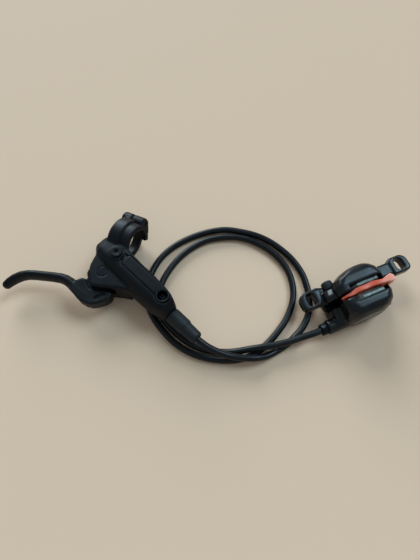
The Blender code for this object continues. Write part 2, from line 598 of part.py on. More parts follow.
def make_lever_blade(parent):
    """Blade, base, hub and the forked cam arm in one piece, turning on the pivot pin."""
    pin_x, pin_y = PIVOT
    path = [Vector((x, y, 0)) for x, y in blade_path()]
    sections = []
    sides = 14
    for i, point in enumerate(path):
        ahead = path[min(i + 1, len(path) - 1)] - path[max(i - 1, 0)]
        across = Vector((-ahead.y, ahead.x, 0)).normalized()
        taper = 1.0 if i < len(path) - 3 else (0.97, 0.90, 0.78)[i - len(path) + 3]
        swell = 1.0 + 0.42 * max(0.0, 1.0 - i / 6)
        half_t = BLADE_T / 2 * taper * swell
        half_h = BLADE_H / 2 * taper
        ring = []
        for k in range(sides):
            angle = math.tau * k / sides
            ring.append(point + across * half_t * math.cos(angle)
                        + Vector((0, 0, CYL_Z - 0.5 + half_h * math.sin(angle))))
        sections.append(ring)
    end = path[-1] + (path[-1] - path[-2]).normalized() * 1.6
    lift = Vector((0, 0, (CYL_Z - 0.5) * 0.55))
    nose = [end + (point - path[-1]) * 0.45 + lift for point in sections[-1]]
    sections.append(nose)
    blade = loft(sections)

    base = [(2.8, -30.3), (-2.2, -29.6), (-5.6, -27.8), (-8.2, -28.8), (-10.0, -32.6), (-10.0, -39.4),
            (-6.4, -41.0), (-2.0, -41.6), (3.6, -41.8), (8.4, -40.6), (12.4, -38.4), (15.4, -34.6),
            (17.6, -30.2), (18.6, -26.0), (17.4, -22.8), (14.8, -22.0), (10.6, -25.6), (6.6, -28.8)]
    base = prism(base, CYL_Z - BLADE_H / 2 - 0.3, CYL_Z + BLADE_H / 2 - 0.7, 1.2, 3)
    hub = arc(pin_x, pin_y, 7.4, 200, 60, 12)
    hub += [(10.4, -20.0), (15.0, -23.0), (13.0, -31.0), (3.0, -35.0), (-4.2, -34.0), (-5.6, -26.0)]
    hub = prism(hub, CYL_Z - HUB_H / 2, CYL_Z + HUB_H / 2, 0.5)
    lean = math.radians(90 + ARM_LEAN)
    reach = arm_length()
    barrel = (pin_x + reach * math.cos(lean), pin_y + reach * math.sin(lean))
    arm = [(pin_x - 6.4, pin_y), (pin_x + 6.4, pin_y)] + arc(barrel[0], barrel[1], 4.4, -10, 190, 10)
    arm = prism(arm, CYL_Z - HUB_H / 2, CYL_Z + HUB_H / 2)
    fork_gap = box((-20, barrel[1] - 5.2, CYL_Z - 1.9), (20, barrel[1] + 8, CYL_Z + 1.9))
    lever = cut(
        fuse(base, blade, hub, arm), fork_gap,
        moved(rod(0, 30, PIVOT_D / 2 + RUN, 24), along_z(pin_x, pin_y)),
        moved(rod(0, 30, ROD_PIN_R + ROD_PIN_PLAY, 24), along_z(*barrel)),
        recess_on_base(),
    )
    return solid("lever_blade", lever, "matte_black", parent, at=(pin_x, pin_y, 0))


def arm_length():
    """From the pivot to the barrel pin, which lies on the cylinder's axis at both ends of travel."""
    return (CYL_Y - PIVOT[1]) / math.cos(math.radians(ARM_LEAN))


def recess_on_base():
    """The oblong hollow on top of the blade's base."""
    top = CYL_Z + BLADE_H / 2 - 0.7
    outline = arc(11.4, -32.6, 1.5, 164, 344, 6) + arc(13.2, -27.0, 1.5, -16, 164, 6)
    return prism(outline, top - 1.3, top + 1.0)


def make_pivot(parent):
    """Pivot pin with its head sunk in the upper plate, and the clip below."""
    x, y = PIVOT
    r = PIVOT_D / 2
    pin = turned([(0.3, 0), (0.3, r - 0.4), (0.6, r - 0.1), (0.6, r - 0.6), (1.3, r - 0.6), (1.3, r),
                  (LUG_TOP - 0.5, r), (LUG_TOP - 0.5, r + 0.9), (LUG_TOP - 0.1, r + 0.9),
                  (LUG_TOP + 0.2, r + 0.4), (LUG_TOP + 0.2, 0)], 24)
    solid("pivot_pin", moved(pin, along_z(x, y)), "black_steel", parent)
    clip = arc(0, 0, r + 1.6, 25, 335, 16) + arc(0, 0, r - 0.45, 335, 25, 16)
    solid("pivot_clip", moved(prism(clip, 0.7, 1.2), Matrix.Translation((x, y, 0))), "steel", parent)


def make_master_cylinder(parent):
    """Everything in the master cylinder, from the barrel pin in the cam arm to the return spring."""
    bore = CYL_BORE / 2
    lean = math.radians(ARM_LEAN)
    barrel_x = PIVOT[0] - arm_length() * math.sin(lean)
    on_axis = along_x(CYL_Y, CYL_Z)
    piston_x = CYL_MOUTH + 3.0

    barrel = rod(CYL_Z - HUB_H / 2 + 0.2, CYL_Z + HUB_H / 2 - 0.2, ROD_PIN_R, 24, 0.3)
    barrel = cut(moved(barrel, along_z(barrel_x, CYL_Y)), moved(rod(-20, 20, 1.6 + FIT, 16), on_axis))
    solid("rod_pin", barrel, "steel", parent)

    rod_profile = [(barrel_x - 5.4, 0), (barrel_x - 5.4, 1.2), (barrel_x - 5.0, 1.6),
                   (piston_x - 2.0, 1.6), (piston_x - 1.2, 2.2), (piston_x + 0.6, 2.2),
                   (piston_x + 1.6, 1.4), (piston_x + 2.0, 0)]
    push_rod = cut(turned(rod_profile, 16), hex_bar(barrel_x - 6.4, barrel_x - 3.6, 1.6))
    solid("push_rod", moved(push_rod, on_axis), "steel", parent)

    land = bore - 0.3
    x = piston_x
    piston = [(x + 2.4, 0.0), (x + 2.4, 0.6), (x + 1.2, 2.7), (x, 2.7), (x, land - 0.5), (x + 0.5, land),
              (x + 5.0, land), (x + 5.0, 3.1), (x + 8.0, 3.1), (x + 8.0, land), (x + 9.6, land),
              (x + 9.6, 2.6), (x + 16.6, 2.6), (x + 16.6, land), (x + 18.6, land), (x + 18.6, 2.0),
              (x + 22.4, 2.0), (x + 22.4, 0)]
    solid("master_piston", moved(turned(piston, 24), on_axis), "resin_white", parent)
    secondary = turned([(x + 5.4, 3.4), (x + 7.6, 3.4), (x + 7.6, bore - 0.45), (x + 6.8, bore - 0.2),
                        (x + 5.4, bore - 0.45)], 24)
    solid("secondary_cup", moved(secondary, on_axis), "rubber", parent)
    primary = turned([(x + 18.9, 2.3), (x + 20.3, 2.3), (x + 20.3, 3.2), (x + 21.6, 3.9),
                      (x + 21.6, bore - 0.2), (x + 18.9, bore - 0.4)], 24)
    solid("primary_cup", moved(primary, on_axis), "rubber", parent)

    ring = arc(0, 0, bore - 0.15, 20, 340, 18) + arc(0, 0, bore - 1.5, 340, 20, 18)
    ring = moved(prism(ring, 0.0, 0.8), Matrix.Rotation(math.radians(90), 4, "Y"))
    solid("piston_stop_ring", moved(ring, along_x(CYL_Y, CYL_Z, piston_x - 1.2)), "steel", parent)
    boot = [(piston_x - 3.6, 2.0), (piston_x - 3.6, 2.9), (piston_x - 2.9, 3.4),
            (piston_x - 2.9, bore - 0.4), (piston_x - 1.6, bore - 0.2),
            (piston_x - 1.6, bore - 1.2), (piston_x - 2.2, 2.7), (piston_x - 2.2, 2.0)]
    solid("rod_dust_boot", moved(turned(boot, 24), on_axis), "rubber", parent)
    make_return_spring(parent, piston_x + 21.9, CYL_END - 0.9, 3.5, 0.4, 5)


def make_return_spring(parent, start, end, radius, wire, turns):
    """Helical spring about the cylinder's axis, a wire of six sides swept along the helix."""
    sides = 6
    steps = turns * 10
    lengthwise = Vector((1, 0, 0))
    sections = []
    for i in range(steps + 1):
        angle = math.tau * turns * i / steps
        x = start + wire + (end - start - 2 * wire) * i / steps
        outward = Vector((0, math.cos(angle), math.sin(angle)))
        centre = Vector((x, CYL_Y, CYL_Z)) + outward * radius
        ring = []
        for k in range(sides):
            turn = math.tau * k / sides
            ring.append(centre + outward * wire * math.cos(turn) + lengthwise * wire * math.sin(turn))
        sections.append(ring)
    solid("piston_spring", loft(sections), "steel", parent)


def make_hose_end(prefix, parent, place, face):
    """Nut, olive and insert of one hose end; +X points out of the housing whose face is at x = face."""
    hose_r = HOSE_D / 2
    insert = turned([(face - 8.6, 0), (face - 8.6, 1.3), (face - 6.9, hose_r - 0.3),
                     (face - 6.9, hose_r - 0.1), (face - 6.0, hose_r - 0.1), (face - 6.0, 0)], 16)
    crest = NUT_THREAD_R - 0.1
    olive = turned([(face - 5.2, hose_r + 0.3), (face - 4.9, crest - 0.3), (face - 3.4, crest),
                    (face - 2.2, crest - 0.3), (face - 1.9, hose_r + 0.3)], 20)
    solid(prefix + "_hose_insert", moved(insert, place), "brass", parent)
    solid(prefix + "_olive", moved(olive, place), "brass", parent)
    nut = fuse(hex_bar(face + FIT, face + 4.6, NUT_AF), rod(face - 1.6, face + 1.2, NUT_THREAD_R, 24))
    nut = cut(nut, rod(face - 4, face + 8, hose_r + FIT, 20))
    solid(prefix + "_hose_nut", moved(nut, place), "black_steel", parent)


def make_hose_boot(parent):
    """The rubber sleeve over the hose nut on the lever unit, stepped down towards the hose."""
    face = HOUSING_END + FIT
    hose_r = HOSE_D / 2
    profile = [(face, 5.0), (face, BOOT_R), (face + 13.2, BOOT_R - 0.1), (face + 14.2, BOOT_R - 0.8),
               (face + BOOT_LEN - 1.0, BOOT_R - 1.2), (face + BOOT_LEN, BOOT_R - 2.0),
               (face + BOOT_LEN, hose_r + FIT), (face + 6.4, hose_r + FIT), (face + 5.6, 5.0)]
    solid("hose_boot", moved(turned(profile, 28), along_x(CYL_Y, CYL_Z)), "rubber", parent)


def smooth_route(route, per_span=16):
    """A centripetal Catmull-Rom curve through the route's points."""
    points = [Vector(p) for p in route]
    points = [2 * points[0] - points[1]] + points + [2 * points[-1] - points[-2]]
    curve = []
    for p0, p1, p2, p3 in zip(points, points[1:], points[2:], points[3:]):
        t1 = (p1 - p0).length ** 0.5
        t2 = t1 + (p2 - p1).length ** 0.5
        t3 = t2 + (p3 - p2).length ** 0.5
        for step in range(per_span):
            t = t1 + (t2 - t1) * step / per_span
            a1 = p0 + (p1 - p0) * (t / t1)
            a2 = p1 + (p2 - p1) * ((t - t1) / (t2 - t1))
            a3 = p2 + (p3 - p2) * ((t - t2) / (t3 - t2))
            b1 = a1 + (a2 - a1) * (t / t2)
            b2 = a2 + (a3 - a2) * ((t - t1) / (t3 - t1))
            curve.append(b1 + (b2 - b1) * ((t - t1) / (t2 - t1)))
    return curve + [points[-2]]


def evenly(curve, count):
    """The given number of points, evenly spaced along a curve."""
    lengths = [0.0]
    for a, b in zip(curve, curve[1:]):
        lengths.append(lengths[-1] + (b - a).length)
    points = []
    k = 0
    for i in range(count):
        want = lengths[-1] * i / (count - 1)
        while k < len(curve) - 2 and lengths[k + 1] < want:
            k += 1
        part = (want - lengths[k]) / (lengths[k + 1] - lengths[k])
        points.append(curve[k].lerp(curve[k + 1], part))
    return points


def make_hose():
    """The brake hose: a tube with filled ends along its centre line."""
    points = evenly(smooth_route(HOSE_ROUTE), HOSE_POINTS)
    curve = bpy.data.curves.new("hose", "CURVE")
    curve.dimensions = "3D"
    curve.bevel_depth = HOSE_D / 2 * MM
    curve.bevel_resolution = 2
    curve.use_fill_caps = True
    spline = curve.splines.new("POLY")
    spline.points.add(len(points) - 1)
    for target, point in zip(spline.points, points):
        target.co = (*(point * MM), 1.0)
    curve.materials.append(finish("hose_black"))
    hose = bpy.data.objects.new("hose", curve)
    bpy.context.collection.objects.link(hose)


# Caliper

def block_section(y, x0, x1, z0, z1, corner, steps=5):
    """A rectangle in X and Z at the given y, its corners rounded as far as its sides allow."""
    corner = min(corner, (x1 - x0) / 2 - 0.2, (z1 - z0) / 2 - 0.2)
    points = []
    for cx, cz, start in ((x1 - corner, z1 - corner, 0), (x0 + corner, z1 - corner, 90),
                          (x0 + corner, z0 + corner, 180), (x1 - corner, z0 + corner, 270)):
        points += arc(cx, cz, corner, start, start + 90, steps)
    return [(x, y, z) for x, z in points]


def ear_outline(centre):
    """Plan of one mounting ear: square towards the body, well rounded at the far end."""
    out = 1 if centre > 0 else -1
    plan = [(-7.4, -6.6), (3.6, -6.6)] + arc(4.2, -3.0, 3.6, -80, 0, 5) + arc(2.2, 1.2, 5.6, 0, 90, 8)
    plan += [(-5.0, 6.8), (-7.4, 4.6)]
    return [(centre + out * x, y) for x, y in plan]


def slot_outline(centre):
    across, along = EAR_SLOT
    r = across / 2
    run = along / 2 - r
    return arc(centre, run, r, 0, 180, 10) + arc(centre, -run, r, 180, 360, 10)


def pad_pocket(side):
    """The room for pads and rotor in one half; side is +1 for the inner half, -1 for the outer."""
    depth = PAD_GAP / 2 + FRICTION_T + PLATE_T + 3 * FIT
    wide = box((PAD_X[0] - POCKET_SIDE, -1.0, -2.0), (PAD_X[1] + POCKET_SIDE, depth, CALIPER_H + 2))
    narrow = box((-60.0, -1.0, BRIDGE_H), (60.0, ROTOR_SLOT / 2, CALIPER_H + 2))
    pocket = fuse(wide, narrow)
    if side < 0:
        moved(pocket, Matrix.Scale(-1, 4, (0, 1, 0)))
    return moved(pocket, Matrix.Translation((0, ROTOR_Y, 0)))


def piston_bore(side):
    """The cylinder for one piston, with its seal groove and fluid space behind."""
    x, z = CYL_AT
    start = PAD_GAP / 2 + FRICTION_T + PLATE_T
    r = PISTON_D / 2 + RUN
    end = start + FIT + PISTON_LEN + 0.6
    groove = start + 3.6
    profile = [(start - 1, 0), (start - 1, r), (groove, r), (groove, r + 1.3), (groove + 2.4, r + 1.3),
               (groove + 2.4, r), (end, r), (end, 0)]
    return moved(turned(profile, 40), along_y(x, z, ROTOR_Y, flip=side < 0))


def bolt_bore(x, y0, y1, radius):
    return moved(rod(min(y0, y1), max(y0, y1), radius, 20), along_y(x, BODY_BOLT_Z))


def make_caliper_inner(parent):
    """The hub side half of the caliper, cast with both mounting ears."""
    face = ROTOR_Y + FIT / 2
    body = loft([
        block_section(face, -25.5, 22.4, 0.0, BRIDGE_H + 0.6, 3.0),
        block_section(-3.2, -25.5, 22.4, 0.0, BRIDGE_H + 0.6, 3.0),
        block_section(2.6, -24.5, 21.4, 1.2, BRIDGE_H, 3.0),
    ])
    bulge = loft([
        block_section(face, -23.0, 14.9, 0.0, CALIPER_H - 1.4, 4.5),
        block_section(-2.0, -23.0, 14.6, 0.0, CALIPER_H, 6.0),
        block_section(2.6, -21.0, 14.0, 0.8, CALIPER_H, 8.0),
        block_section(6.0, -15.5, 12.6, 2.8, CALIPER_H - 1.0, 10.0),
        block_section(8.0, -10.8, 10.8, 5.2, CALIPER_H - 3.0, 10.0),
        block_section(8.9, -7.6, 8.0, 8.6, CALIPER_H - 6.0, 7.0),
    ])
    half = EAR_SPACING / 2
    neck = [(8.0, -4.6), (30.5, -5.2), (30.5, 4.6), (16.0, 4.4), (8.0, 6.0)]
    root = [(-18.0, -7.0), (-18.0, 3.4), (-26.0, 5.6), (-31.5, 7.4), (-31.5, -7.4)]
    nipple_x, nipple_z = NIPPLE_AT
    port = moved(rod(-6.0, 1.4, 5.2, 24, 0.8), along_y(nipple_x, nipple_z))
    shoulder = loft([
        block_section(face, -28.4, -12.0, 2.0, CALIPER_H - 8.6, 3.4),
        block_section(-4.6, -29.6, -12.0, 2.0, CALIPER_H - 7.0, 4.2),
        block_section(0.6, -28.2, -12.0, 3.0, CALIPER_H - 9.0, 5.0),
    ])
    body = fuse(
        body, bulge,
        prism(ear_outline(-half), EAR_Z[0], EAR_Z[1], 0.9),
        prism(ear_outline(half), EAR_Z[0], EAR_Z[1], 0.9),
        prism(neck, EAR_Z[0] + 0.4, EAR_Z[1] - 0.5, 0.7),
        prism(root, EAR_Z[0] + 0.2, EAR_Z[1] - 0.2, 0.7),
        port, shoulder,
    )
    bolts = []
    for x in BODY_BOLT_X:
        bolts.append(bolt_bore(x, ROTOR_Y - 2, 8.0, BODY_BOLT_D / 2 + FIT))
        bolts.append(bolt_bore(x, 1.0, 16.0, BODY_BOLT_D / 2 + 2.0))
    body = cut(
        body, pad_pocket(1), piston_bore(1), *bolts,
        prism(slot_outline(-half), 0, 30), prism(slot_outline(half), 0, 30),
        moved(rod(-40, 1.4, PAD_PIN_D / 2 + FIT, 12), along_y(*PAD_PIN_AT)),
        moved(rod(-6.8, 20.0, 2.2 + FIT, 16), along_y(nipple_x, nipple_z)),
        moved(rod(1.4, 20.0, 4.8, 20), along_y(nipple_x, nipple_z)),
    )
    return solid("caliper_inner", body, "gloss_black", parent)


def make_caliper_outer(parent):
    """The outboard half of the caliper, with the boss that the hose enters."""
    face = ROTOR_Y - FIT / 2
    back = 2 * ROTOR_Y - 7.0
    body = loft([
        block_section(face, -25.5, 22.4, 0.0, BRIDGE_H + 0.6, 3.0),
        block_section(face - 8.0, -25.5, 22.0, 0.0, BRIDGE_H + 0.6, 3.0),
        block_section(CALIPER_OUT, -24.5, 20.4, 1.0, BRIDGE_H, 3.0),
    ])
    bulge = loft([
        block_section(face, -22.0, 13.8, 0.0, CALIPER_H - 1.4, 4.5),
        block_section(face - 7.0, -22.0, 14.8, 0.0, CALIPER_H, 6.0),
        block_section(face - 12.0, -21.4, 13.8, 0.0, CALIPER_H - 0.6, 8.0),
        block_section(back + 1.8, -19.6, 11.0, 1.2, CALIPER_H - 3.0, 9.0),
        block_section(back, -16.5, 6.6, 4.0, CALIPER_H - 6.4, 8.0),
    ])
    shoulder = loft([
        block_section(face, -28.0, -12.0, 0.0, CALIPER_H - 13.0, 3.4),
        block_section(face - 6.0, -27.6, -12.0, 0.0, CALIPER_H - 13.6, 4.4),
        block_section(face - 12.0, -26.4, -12.0, 0.0, CALIPER_H - 17.0, 5.0),
        block_section(face - 15.4, -24.8, -12.0, 1.4, CALIPER_H - 20.4, 5.0),
    ])
    port_y, port_z = HOSE_PORT
    boss = moved(rod(HOSE_PORT_X, -8.0, HOSE_BOSS_R, 28, 0.7), along_x(port_y, port_z))
    body = fuse(body, bulge, shoulder, boss)
    bolts = [bolt_bore(x, ROTOR_Y - 9.2, ROTOR_Y + 2, BODY_BOLT_D / 2 + FIT) for x in BODY_BOLT_X]
    port_r = NUT_THREAD_R + FIT
    port = turned([(HOSE_PORT_X - 1, 0), (HOSE_PORT_X - 1, port_r), (HOSE_PORT_X + 6.4, port_r),
                   (HOSE_PORT_X + 9.0, 2.3), (HOSE_PORT_X + 9.0, 1.2), (HOSE_PORT_X + 26.0, 1.2),
                   (HOSE_PORT_X + 26.0, 0)], 24)
    body = cut(
        body, pad_pocket(-1), piston_bore(-1), *bolts,
        moved(port, along_x(port_y, port_z)),
        moved(rod(-40, 40, PAD_PIN_D / 2 + FIT, 12), along_y(*PAD_PIN_AT)),
        moved(rod(-40, CALIPER_OUT, 2.3 + FIT, 16), along_y(*PAD_PIN_AT)),
    )
    return solid("caliper_outer", body, "gloss_black", parent)


def make_caliper_fasteners(parent):
    """Body bolts, the screwed pad pin, bleed nipple and cap."""
    r = BODY_BOLT_D / 2
    for x, name in zip(BODY_BOLT_X, ("body_bolt_left", "body_bolt_right")):
        bolt = cap_screw(20.2, r, r + 1.7, 4.4, 5.0)
        solid(name, moved(bolt, along_y(x, BODY_BOLT_Z, 1.0 + FIT, flip=True)), "black_steel", parent)
    x, z = PAD_PIN_AT
    pin_r = PAD_PIN_D / 2
    pin = turned([(-2.0, 0), (-2.0, 1.9), (-1.4, 2.3), (0.0, 2.3), (0.0, pin_r), (24.4, pin_r),
                  (24.9, pin_r - 0.5), (24.9, 0)], 14)
    pin = cut(pin, hex_bar(-3.0, -0.8, 2.0))
    solid("pad_pin", moved(pin, along_y(x, z, CALIPER_OUT - FIT)), "steel", parent)
    x, z = NIPPLE_AT
    nipple = turned([(-6.4, 0), (-6.4, 0.9), (-5.2, 2.2), (1.8, 2.2), (1.8, 3.2), (3.8, 3.2), (3.8, 1.9),
                     (5.4, 1.6), (6.0, 2.0), (6.6, 1.5), (6.6, 0)], 16)
    solid("bleed_nipple", moved(nipple, along_y(x, z)), "steel", parent)
    cap = turned([(8.6, 0), (8.2, 3.4), (7.2, 4.2), (2.2, 4.4), (1.7, 4.1), (1.7, 3.5), (4.1, 3.5),
                  (4.1, 2.3), (6.9, 2.3), (7.0, 0)], 24)
    solid("bleed_cap", moved(cap, along_y(x, z)), "rubber", parent)


def make_caliper_side(name, side, parent):
    """Piston, seal, backing plate and friction block of one side."""
    x, z = CYL_AT
    start = PAD_GAP / 2
    plate_y = start + FRICTION_T + FIT
    piston_y = plate_y + PLATE_T + FIT
    place = along_y(x, z, ROTOR_Y, flip=side < 0)
    r = PISTON_D / 2
    piston = [(piston_y + 5.4, 0), (piston_y + 5.4, r - 3.6), (piston_y, r - 3.0), (piston_y, r - 0.4),
              (piston_y + 0.4, r), (piston_y + PISTON_LEN - 0.4, r), (piston_y + PISTON_LEN, r - 0.4),
              (piston_y + PISTON_LEN, 0)]
    solid("piston_" + name, moved(turned(piston, 40), place), "resin_white", parent)
    groove = start + FRICTION_T + PLATE_T + 3.6
    seal = turned([(groove + 0.25, r + 0.12), (groove + 0.25, r + RUN + 1.0),
                   (groove + 2.1, r + RUN + 1.0), (groove + 2.1, r + 0.12)], 40)
    solid("piston_seal_" + name, moved(seal, place), "rubber", parent)

    mirror = Matrix.Translation((0, ROTOR_Y, 0))
    if side < 0:
        mirror = mirror @ Matrix.Scale(-1, 4, (0, 1, 0))
    upright = Matrix.Rotation(math.radians(90), 4, "X") @ Matrix.Scale(-1, 4, (0, 0, 1))
    low = PAD_LOW
    high = CALIPER_H - FRICTION_BELOW
    top = CALIPER_H - PLATE_BELOW
    left, right = PAD_X
    pin_x, pin_z = PAD_PIN_AT
    plate = [(left, low), (-4.4, low - 1.6), (pin_x - 3.4, 3.4)] + arc(pin_x, pin_z, 3.2, 200, 340, 6)
    plate += [(pin_x + 3.4, 3.4), (6.0, low - 1.6), (right, low), (right, top - 2.6), (right - 2.2, top),
              (left + 4.6, top), (left, top - 4.0)]
    plate = moved(prism(plate, plate_y, plate_y + PLATE_T), upright)
    plate = cut(moved(plate, mirror), moved(rod(-60, 60, PAD_PIN_D / 2 + FIT, 12), along_y(pin_x, pin_z)))
    solid("pad_plate_" + name, plate, "steel", parent)
    block = [(left + 0.8, low + 1.2), (left + 3.4, low + 0.2), (right - 3.4, low + 0.2),
             (right - 0.8, low + 1.2), (right - 0.8, high - 2.0), (right - 3.0, high),
             (left + 3.0, high), (left + 0.8, high - 2.0)]
    block = moved(prism(block, start, start + FRICTION_T), upright)
    solid("pad_friction_" + name, moved(block, mirror), "friction", parent)


def make_pad_spring(parent):
    """The folded leaf between the backing plates, below the friction blocks."""
    inner = PAD_GAP / 2 + FRICTION_T - 0.5
    low = 5.8
    outline = [(-inner, low + 2.2), (-inner, low), (inner, low), (inner, low + 2.2),
               (inner - 0.4, low + 2.2), (inner - 0.4, low + 0.4),
               (-inner + 0.4, low + 0.4), (-inner + 0.4, low + 2.2)]
    upright = Matrix(((0, 0, 1, 0), (1, 0, 0, ROTOR_Y), (0, 1, 0, 0), (0, 0, 0, 1)))
    solid("pad_spring", moved(prism(outline, -7.6, 9.2), upright), "steel", parent)


def make_pad_spacer(parent):
    """The transport wedge in the rotor slot: a leaf between the pads, with a wavy rim and a grip on top."""
    top = CALIPER_H - 3.4
    leaf = [(-15.0, 11.5), (13.0, 11.5), (17.2, 16.0), (17.2, top), (-12.0, top - 0.8),
            (-17.0, top - 2.0), (-17.4, 20.0)]
    upright = Matrix.Rotation(math.radians(90), 4, "X") @ Matrix.Scale(-1, 4, (0, 0, 1))
    middle = Matrix.Translation((0, ROTOR_Y, 0))
    half = PAD_GAP / 2 - SPACER_ROOM
    leaf = moved(prism(leaf, -half, half), middle @ upright)
    rim = [(-19.6, -0.7), (-14.0, -1.0), (-9.0, -0.9), (-3.0, -0.5), (3.0, -0.7), (8.0, -1.3),
           (12.5, -1.4), (16.2, -1.9), (19.0, -3.4), (21.4, -2.4), (21.8, 0.8), (20.2, 2.8),
           (17.0, 2.6), (13.5, 1.8), (9.0, 2.5), (4.0, 3.1), (-2.0, 3.2), (-8.0, 2.7),
           (-14.0, 1.5), (-19.6, 0.3)]
    rim = moved(prism(rim, top - 1.0, top + 1.6, 0.5), middle @ Matrix.Rotation(math.radians(-4), 4, "Y"))
    grip = box((16.0, ROTOR_Y - 1.9, 13.0), (20.4, ROTOR_Y + 1.9, top + 0.6), 0.7)
    solid("pad_spacer", fuse(leaf, rim, grip), "spacer_orange", parent)


def main():
    clear_scene()
    lever = carrier("lever_unit", LEVER_AT, LEVER_TURN)
    caliper = carrier("caliper_unit", CALIPER_AT, CALIPER_TURN)

    make_lever_body(lever)
    make_reservoir(lever)
    make_clamp(lever)
    make_lever_blade(lever)
    make_pivot(lever)
    make_master_cylinder(lever)
    make_hose_end("lever", lever, along_x(CYL_Y, CYL_Z), HOUSING_END)
    make_hose_boot(lever)
    make_hose()
    port_y, port_z = HOSE_PORT
    facing = along_x(port_y, port_z) @ Matrix.Rotation(math.radians(180), 4, "Z")
    make_hose_end("caliper", caliper, facing, -HOSE_PORT_X)

    make_caliper_inner(caliper)
    make_caliper_outer(caliper)
    make_caliper_fasteners(caliper)
    make_caliper_side("inner", 1, caliper)
    make_caliper_side("outer", -1, caliper)
    make_pad_spring(caliper)
    make_pad_spacer(caliper)


main()
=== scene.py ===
import math

import bmesh
import bpy
import numpy as np
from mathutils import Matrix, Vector


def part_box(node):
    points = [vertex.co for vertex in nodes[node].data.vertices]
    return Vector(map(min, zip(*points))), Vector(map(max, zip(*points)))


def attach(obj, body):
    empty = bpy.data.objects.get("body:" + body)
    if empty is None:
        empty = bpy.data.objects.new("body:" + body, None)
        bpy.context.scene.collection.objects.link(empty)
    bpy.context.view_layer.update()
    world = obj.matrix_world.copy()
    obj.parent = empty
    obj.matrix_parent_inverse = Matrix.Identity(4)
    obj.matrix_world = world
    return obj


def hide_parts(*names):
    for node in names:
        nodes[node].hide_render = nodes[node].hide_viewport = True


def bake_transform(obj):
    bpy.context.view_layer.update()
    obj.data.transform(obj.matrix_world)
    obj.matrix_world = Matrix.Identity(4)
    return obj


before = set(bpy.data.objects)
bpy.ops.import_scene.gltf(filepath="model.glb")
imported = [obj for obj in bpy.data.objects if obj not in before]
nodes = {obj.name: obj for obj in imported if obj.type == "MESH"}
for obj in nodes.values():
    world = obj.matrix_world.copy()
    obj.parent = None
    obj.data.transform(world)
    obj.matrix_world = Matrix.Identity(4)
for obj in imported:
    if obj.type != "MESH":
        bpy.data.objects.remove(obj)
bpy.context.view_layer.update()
MM = 0.001


# The camera stands in front of the brake and looks steeply down at it, as the photograph does.
# It sees both loops of hose, with the lever unit on the left and the caliper on the right.
camera = bpy.data.objects.new("camera", bpy.data.cameras.new("camera"))
camera.data.lens = 26.36
camera.data.sensor_width = 36.0
camera.data.clip_start = 0.01
camera.location = (1.21 * MM, -123.06 * MM, 294.3 * MM)
camera.rotation_euler = (math.radians(23.1), 0.0, 0.0)
bpy.context.scene.collection.objects.link(camera)
bpy.context.scene.camera = camera
bpy.context.scene.view_settings.view_transform = "Standard"


# The hose is a smooth nylon tube of 5 mm, about 0.81 m long, laid in two loops on the table.
# It is drawn through a die, so it shines along its length and has very fine lengthwise lines.
# It leaves the rubber boot of the lever unit and ends in the nut of the caliper.
ROUTE = np.array([
    (-30.39, -27.03, 15), (-22.3, -34.7, 15), (-13.6, -43, 15), (-6.7, -49.5, 15),
    (-0.3, -53.8, 13.2), (7.7, -57.2, 10.8), (16.2, -59.5, 8.9), (25.2, -60.6, 8.3), (33.7, -60.4, 7.4),
    (41, -58.6, 4.8), (47.7, -55.2, 2.9), (54.7, -51, 2.6), (62, -45, 2.6), (69.8, -36.2, 2.6),
    (74.8, -25.6, 2.6), (76.4, -15.1, 2.6), (75.6, -4.2, 2.6), (72.6, 7.4, 2.6), (65.6, 19.6, 2.6),
    (56, 29.6, 2.6), (47, 36.3, 2.6), (37, 41.1, 2.6), (25.4, 44.2, 2.6), (13.4, 45.8, 2.6),
    (-1.4, 43.4, 2.6), (-16.1, 37.6, 2.6), (-27.7, 30.4, 2.6), (-37, 21, 2.6),
    (-43.6, 8.8, 2.6), (-47, -4.1, 2.6), (-46.1, -16.2, 2.6), (-41.6, -27.8, 2.6),
    (-34.2, -38.2, 2.6), (-23.5, -49.1, 2.6), (-9, -57.2, 2.6), (6.7, -60.7, 2.6),
    (21.2, -60.5, 2.6), (32.2, -56.8, 2.6), (41.1, -50.4, 2.6), (49.9, -41.3, 2.6),
    (58.4, -29.4, 2.6), (63.8, -15.6, 2.6), (64.6, -2.1, 2.6), (60.8, 12, 2.6), (51.4, 24.6, 2.6),
    (40.4, 32.7, 2.6), (27.4, 38, 2.6), (13.3, 38.8, 2.6), (-0.6, 36.2, 2.6), (-12.2, 30, 2.6),
    (-22.4, 21, 2.6), (-30.4, 10, 2.6), (-36, -2, 2.6), (-38.4, -13.6, 2.6),
    (-36.2, -24.6, 2.6), (-29.4, -35, 2.6), (-18.1, -45.4, 2.6), (-5.2, -52.4, 2.6),
    (9.2, -55, 2.6), (20.2, -55, 4.3), (29.4, -54, 7.2), (38.7, -52.8, 8.3),
    (48.2, -51.2, 8.2), (57.7, -48.8, 8.2), (67.2, -45.6, 8.1), (75.8, -42.9, 8.2),
    (81.8, -40.4, 8.2), (90.74, -36.62, 8.2),
]) * MM
HOSE_R = 2.5 * MM
HOSE_SHARE = 0.985      # of that radius, so that the tube stays inside the solid it stands for
HOSE_POINTS = 420       # points of the drawn hose
SPAN_POINTS = 16        # points that are read between two of the route


